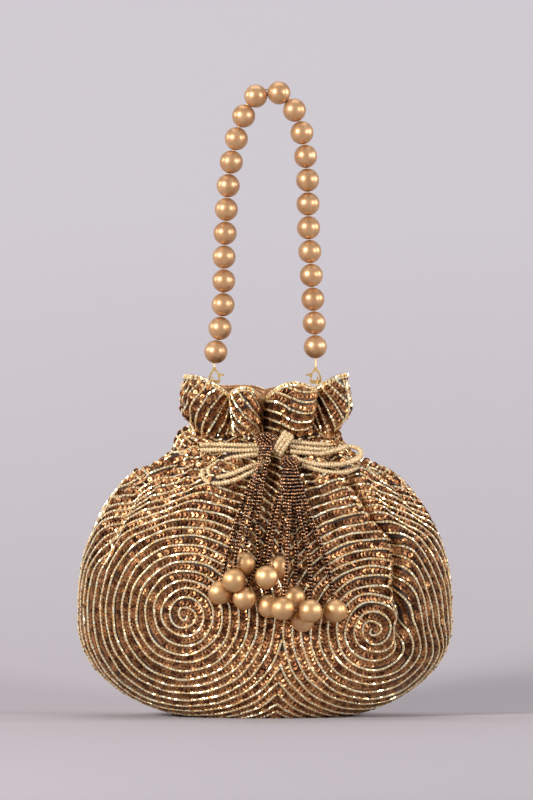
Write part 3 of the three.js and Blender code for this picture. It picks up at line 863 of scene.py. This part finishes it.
# The cords
def tube(path, radius, sides, step, ribs, twist):
    """A closed ribbed cord along a line, and its middle line and length."""
    length = along_line(path)
    where = np.linspace(0, length[-1], max(4, int(length[-1] / step)))
    point, ahead = at(path, length, where)
    side = unit(np.cross(ahead, np.array([0.0, -1.0, 0.05])))
    top = np.cross(side, ahead)
    turn = np.arange(sides) * 2 * math.pi / sides
    phase, wound = where[:, None] * 2 * math.pi / ribs, turn[None, :] * twist
    r = radius * (1.0 + 0.15 * np.sin(phase + wound) + 0.12 * np.sin(phase - wound))
    ring = side[:, None] * np.cos(turn)[None, :, None] + top[:, None] * np.sin(turn)[None, :, None]
    points = point[:, None] + ring * r[..., None]
    points = np.concatenate([points.reshape(-1, 3), point[:1], point[-1:]])
    count = len(where) * sides
    here = np.arange(sides)
    after = (here + 1) % sides
    first = np.stack([np.full(sides, count), after, here], -1)
    last = np.stack([np.full(sides, count + 1), count - sides + here, count - sides + after], -1)
    return points, [grid_faces(len(where), sides, True), first, last], point, length[-1]


def braid(path):
    """The braided cord: its ribs cross each other every 1.8 mm."""
    return tube(path, CORD / 2 + 0.12, 12, 0.3, 1.8, 2)


# Cords longer than this have their exit point and middle line worked out, and nothing more is done
# with them. No shorter line counts as a cord
SHORTEST_CORD = 30.0


def make_cords():
    for name, route in CORDS.items():
        points, faces, line, length = braid(cord_path(route))
        piece = mesh_piece(f"{name}_braid", points, faces, "bag", cord_thread)
        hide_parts(name)
        if length > SHORTEST_CORD:
            exit_point, middle = line[0] * MM, line[::3] * MM
            length * MM


make_cords()


def make_knot():
    """Three turns of cord that wrap the bow, leaning to the right."""
    centre = front_point(10.2, 163.9, 4.8)
    lean_right = 0.57
    up = np.array([math.sin(lean_right), 0.0, math.cos(lean_right)])
    side = np.array([up[2], 0.0, -up[0]])
    turn = np.radians(np.linspace(-118, 118, 60))[:, None]
    points, groups = [], []
    for shift, wide in ((-2.3, 0.94), (0.0, 1.0), (2.3, 0.95)):
        out = np.array([0.0, -1.0, 0.0]) * (3.2 * np.cos(turn) - 0.9)
        path = centre + side * shift + up * (7.0 * wide * np.sin(turn)) + out
        made, faces, _, _ = braid(path)
        shift_by = sum(len(p) for p in points)
        points.append(made)
        groups += [f + shift_by for f in faces]
    piece = mesh_piece("bow_wrap", np.concatenate(points), groups, "bag", cord_thread)
    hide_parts("bow_knot")


make_knot()


# The pearls and the handle
def turned_to(direction):
    """Three axes with the third along a direction."""
    d = unit(np.asarray(direction, float))
    other = np.array([0.0, 1.0, 0.0]) if abs(d[1]) < 0.9 else np.array([1.0, 0.0, 0.0])
    side = unit(np.cross(d, other))
    return np.stack([side, np.cross(d, side), d])


def pearl_piece(name, centre, direction, node, body, material):
    """A drilled pearl in place of a node, with its bore along a direction."""
    form, faces = bead_form(PEARL / 2, PEARL, PEARL_BORE, 36, 22)
    points, groups = copies(form, [faces], centre[None], turned_to(direction)[None])
    piece = mesh_piece(name, points, groups, body, material)
    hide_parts(node)
    return piece


def node_centre(node):
    """The middle of a node of the frame, in millimetres."""
    low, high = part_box(node)
    return np.array((low + high) / 2) * 1000


def make_handle():
    nodes = [f"handle_bead_{i + 1:02d}" for i in range(HANDLE_BEADS)]
    centres = [node_centre(node) for node in nodes]
    for i, (node, centre) in enumerate(zip(nodes, centres)):
        run = centres[min(i + 1, HANDLE_BEADS - 1)] - centres[max(i - 1, 0)]
        name = f"handle_pearl_{i + 1:02d}"
        pearl_piece(name, centre, run, node, "handle", antique_pearl)


make_handle()

# Each tassel's head as place, width, depth and height, and for each strand the pearl's place
# and the places that the strand passes, all as x, height and lift off the cloth
TASSELS = {
    "left": {
        "head": (0.6, 166.4, 10.0, 6.0, 9.0),
        "strands": [
            ((-12.6, 93.2, 7.6), [(-6, 130, 3.2), (-10.4, 112, 3.4)]),
            ((-18.5, 83.6, 16.6), [(-9.6, 130, 6), (-16.4, 104, 15)]),
            ((-26.9, 76, 7.6), [(-13, 130, 3.2), (-21, 105, 3)]),
            (
                (-12.3, 73, 10.8),
                [(-3.2, 132, 6.2), (-4.4, 108, 4.2), (-4, 93, 3.6), (-8.6, 84.4, 6.6)],
            ),
        ],
    },
    "right": {
        "head": (14.6, 153.0, 9.0, 5.6, 8.0),
        "strands": [
            ((1, 85.6, 18.6), [(8.2, 128, 6.2), (3.6, 106, 9.6)]),
            ((8.5, 91.2, 7.6), [(11.6, 126, 6), (9.4, 109, 4.6)]),
            ((2.4, 67.9, 7.6), [(5.6, 126, 3), (0.9, 104, 2.4), (-0.8, 88, 2)]),
            ((10.4, 67.1, 20.6), [(14.4, 124, 6.4), (13, 102, 15), (12.6, 88, 19)]),
            ((17, 73, 7.6), [(17, 122, 3), (18.6, 98, 2.4)]),
            ((26.9, 65.5, 20), [(20.6, 120, 6), (26, 96, 11)]),
            ((22.5, 59.5, 7.6), [(23, 118, 2.6), (27, 94, 2.4), (27.4, 76, 2.6)]),
            ((41.8, 65.1, 8), [(26.6, 122, 3), (36.6, 94, 3)]),
        ],
    },
}
# How a strand falls from the head: shares of the way to its first place, and the lift there
OVER = ((0.2, 7.6), (0.46, 6.6), (0.74, 5.6))


def strand_path(head, index, count, pearl, way):
    """A strand's line, its pearl's centre and the direction of the pearl's bore."""
    x, z, width, _, height = head
    top = front_point(x, z, HEAD_LIFT)
    start = top + np.array([((index + 0.5) / count - 0.5) * 0.72 * width, 0, -0.2 * height])
    first = np.array(way[0], float)
    points = [start]
    for share, lift in OVER:
        px = start[0] + (first[0] - start[0]) * share
        pz = start[2] + (first[1] - start[2]) * share
        points.append(front_point(px, pz, lift))
    for px, pz, lift in way:
        points.append(front_point(px, pz, lift + STRAND / 2))
    centre = front_point(pearl[0], pearl[1], pearl[2])
    lead = unit(points[-1] - centre)
    points.append(centre + lead * (PEARL / 2 + 0.3))
    return spline(points), centre, lead


def string_beads(name, body, beads, core):
    """Seed beads with the thread inside them, as one piece. The thread is near-black with no
    shine, which is painted shade in the gaps between the beads.
    """
    points, groups = beads
    core_points, core_groups = core
    piece = mesh_piece(
        name,
        np.concatenate([points, core_points]),
        groups + [f + len(points) for f in core_groups],
        body,
        seed_beads,
    )
    piece.data.materials.append(thread)
    of_thread = np.arange(len(piece.data.polygons)) >= len(groups[0])
    piece.data.polygons.foreach_set("material_index", of_thread.astype(np.int32))
    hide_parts(f"{body}_strands")
    return piece


def make_head(name, head, body):
    """The round head that the strands leave, closely covered with small seed beads."""
    x, z, width, depth, height = head
    centre = front_point(x, z, HEAD_LIFT)
    size = np.array([width * 1.25, depth, height]) / 2
    form, faces = bead_form(0.95, 1.5, 0.3, 8, 5)
    count = int(width * height * 1.1)
    k = np.arange(count) + 0.5
    polar, turn = np.arccos(1 - 2 * k / count), k * math.pi * (1 + 5**0.5)
    ball = np.stack(
        [np.cos(turn) * np.sin(polar), np.sin(turn) * np.sin(polar), np.cos(polar)], -1
    )
    normal = unit(ball / size)
    axes = np.stack([turned_to(np.cross(n, np.array([0.0, 0.0, 1.0])) + 1e-3) for n in normal])
    beads = copies(form, [faces], centre + ball * (size - 0.5), axes)
    # A near-black core in the thread paint inside the beads: painted shade in the gaps between
    # them.
    core, core_faces = bead_form(1.0, 2.0, 0.05, 16, 9)
    string_beads(f"{name}_tassel_head", body, beads, (centre + core * (size - 0.9), [core_faces]))


def make_tassels():
    form, faces = bead_form(SEED / 2, SEED_LENGTH, SEED_BORE, 10, 5)
    for name, tassel in TASSELS.items():
        body, head, strands = f"{name}_tassel", tassel["head"], tassel["strands"]
        make_head(name, head, body)
        for i, (pearl, way) in enumerate(strands):
            path, centre, lead = strand_path(head, i, len(strands), pearl, way)
            ball = pearl_piece(
                f"{name}_drop_pearl_{i + 1}", centre, lead, f"{body}_pearl_{i + 1}", body,
                gold_pearl,
            )
            where, length = even_steps(path, SEED_PITCH)
            point, along = at(path, length, where)
            axes = np.stack([turned_to(d) for d in along])
            size = chance.uniform(0.88, 1.08, len(point))[:, None, None]
            beads = copies(form, [faces], point, axes * size)
            # The thread through the beads, in the same near-black paint: painted shade between the
            # beads.
            core, core_faces, _, _ = tube(path, THREAD, 6, 1.5, 1.0, 0)
            piece = string_beads(f"{name}_strand_{i + 1}", body, beads, (core, core_faces))


make_tassels()


def dress(material, slot_name, *nodes):
    """Give nodes of the frame that are kept as they are their finish."""
    for node in nodes:
        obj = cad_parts[node]
        obj.data.materials.clear()
        obj.data.materials.append(material)


dress(metal, "gilt_metal", "handle_wire")
for side in ("left", "right"):
    dress(metal, "gilt_metal", f"{side}_clasp", f"{side}_trigger", f"{side}_mouth_ring")
    dress(satin, "satin", f"{side}_loop_tab")


# The floor, the backdrop and the light
FLOOR_REACH, WALL_TOP = 9000.0, 3500.0
WALL_START, WALL_BEND = 90.0, 900.0


def make_sweep_paint():
    """A pale floor that fades out far from the bag, and can't be seen from behind."""
    paint = Paint("pale_sweep", Roughness=0.9, Specular_IOR_Level=0.1)
    # The floor is painted darker than the wall, reaching the wall's colour 0.3 m up: painted
    # shade.
    height = paint.ramp(paint.place("Z"), 0.0, 0.3)
    paint.set("Base Color", paint.mix(height, rgb(176, 170, 174), rgb(186, 182, 188)))
    behind = paint.node("ShaderNodeNewGeometry", "Backfacing")
    aside = paint.place("X").math("ABSOLUTE")
    far = paint.ramp(aside.most(0.0 - paint.place("Y")), 0.9, 2.4)
    clear = paint.node("ShaderNodeBsdfTransparent")
    shader = Sock(paint, paint.shader.outputs["BSDF"])
    seen = paint.mix_shader(behind.most(far), shader, clear)
    paint.put(paint.tree.nodes["Material Output"].inputs["Surface"], seen)
    return paint.material


def make_stage():
    turn = np.linspace(0, math.pi / 2, 16)
    bend = [
        (WALL_START + WALL_BEND * math.sin(a), WALL_BEND - WALL_BEND * math.cos(a)) for a in turn
    ]
    line = [(-FLOOR_REACH, 0.0)] + bend + [(WALL_START + WALL_BEND, WALL_TOP)]
    points = np.array([(x, y, z) for y, z in line for x in (-FLOOR_REACH, FLOOR_REACH)])
    mesh = bpy.data.meshes.new("sweep")
    mesh.from_pydata((points * MM).tolist(), [], grid_faces(len(line), 2).tolist())
    mesh.polygons.foreach_set("use_smooth", [True] * len(mesh.polygons))
    mesh.materials.append(make_sweep_paint())
    sweep = bpy.data.objects.new("sweep", mesh)
    bpy.context.scene.collection.objects.link(sweep)


make_stage()


def area_light(name, place, target, size, power, colour):
    """A soft lamp, in metres and watts."""
    data = bpy.data.lights.new(name, "AREA")
    data.shape = "RECTANGLE"
    data.size, data.size_y = size
    data.energy = power
    data.color = colour
    lamp = bpy.data.objects.new(name, data)
    lamp.location = place
    lamp.rotation_mode = "QUATERNION"
    lamp.rotation_quaternion = (Vector(target) - Vector(place)).to_track_quat("-Z", "Y")
    bpy.context.scene.collection.objects.link(lamp)


area_light("key", (-1.5, -1.5, 0.95), (0, 0, 0.15), (0.5, 0.5), 49, (1.0, 0.98, 0.96))
area_light("fill", (1.5, -1.2, 0.7), (0, 0, 0.15), (0.35, 0.5), 17, (0.97, 0.97, 1.0))
area_light("right rim", (1.6, 0.0, 0.6), (0, 0, 0.12), (0.3, 0.5), 11, (1.0, 0.99, 0.97))
area_light("left rim", (-1.6, 0.1, 0.7), (0, 0, 0.12), (0.3, 0.5), 7, (1.0, 0.99, 0.97))
area_light("top", (0, 0.4, 1.9), (0, 0.2, 0.1), (1.6, 1.2), 12, (0.98, 0.98, 1.0))


def make_world():
    """Weak even light, and a pale background that metal and glass show too."""
    world = bpy.data.worlds.new("studio")
    world.use_nodes = True
    air = Nodes(world.node_tree)
    ray = [
        air.node("ShaderNodeLightPath", f"Is {kind} Ray")
        for kind in ("Camera", "Glossy", "Transmission")
    ]
    light = air.node("ShaderNodeBackground", 0, {"Color": (0.62, 0.61, 0.64), "Strength": 0.08})
    pale = air.node("ShaderNodeBackground", 0, {"Color": rgb(190, 184, 186)})
    seen = air.mix_shader(ray[0].most(ray[1]).most(ray[2]), light, pale)
    air.put(air.tree.nodes["World Output"].inputs["Surface"], seen)
    bpy.context.scene.world = world


make_world()
bpy.context.scene.view_settings.view_transform = "Standard"
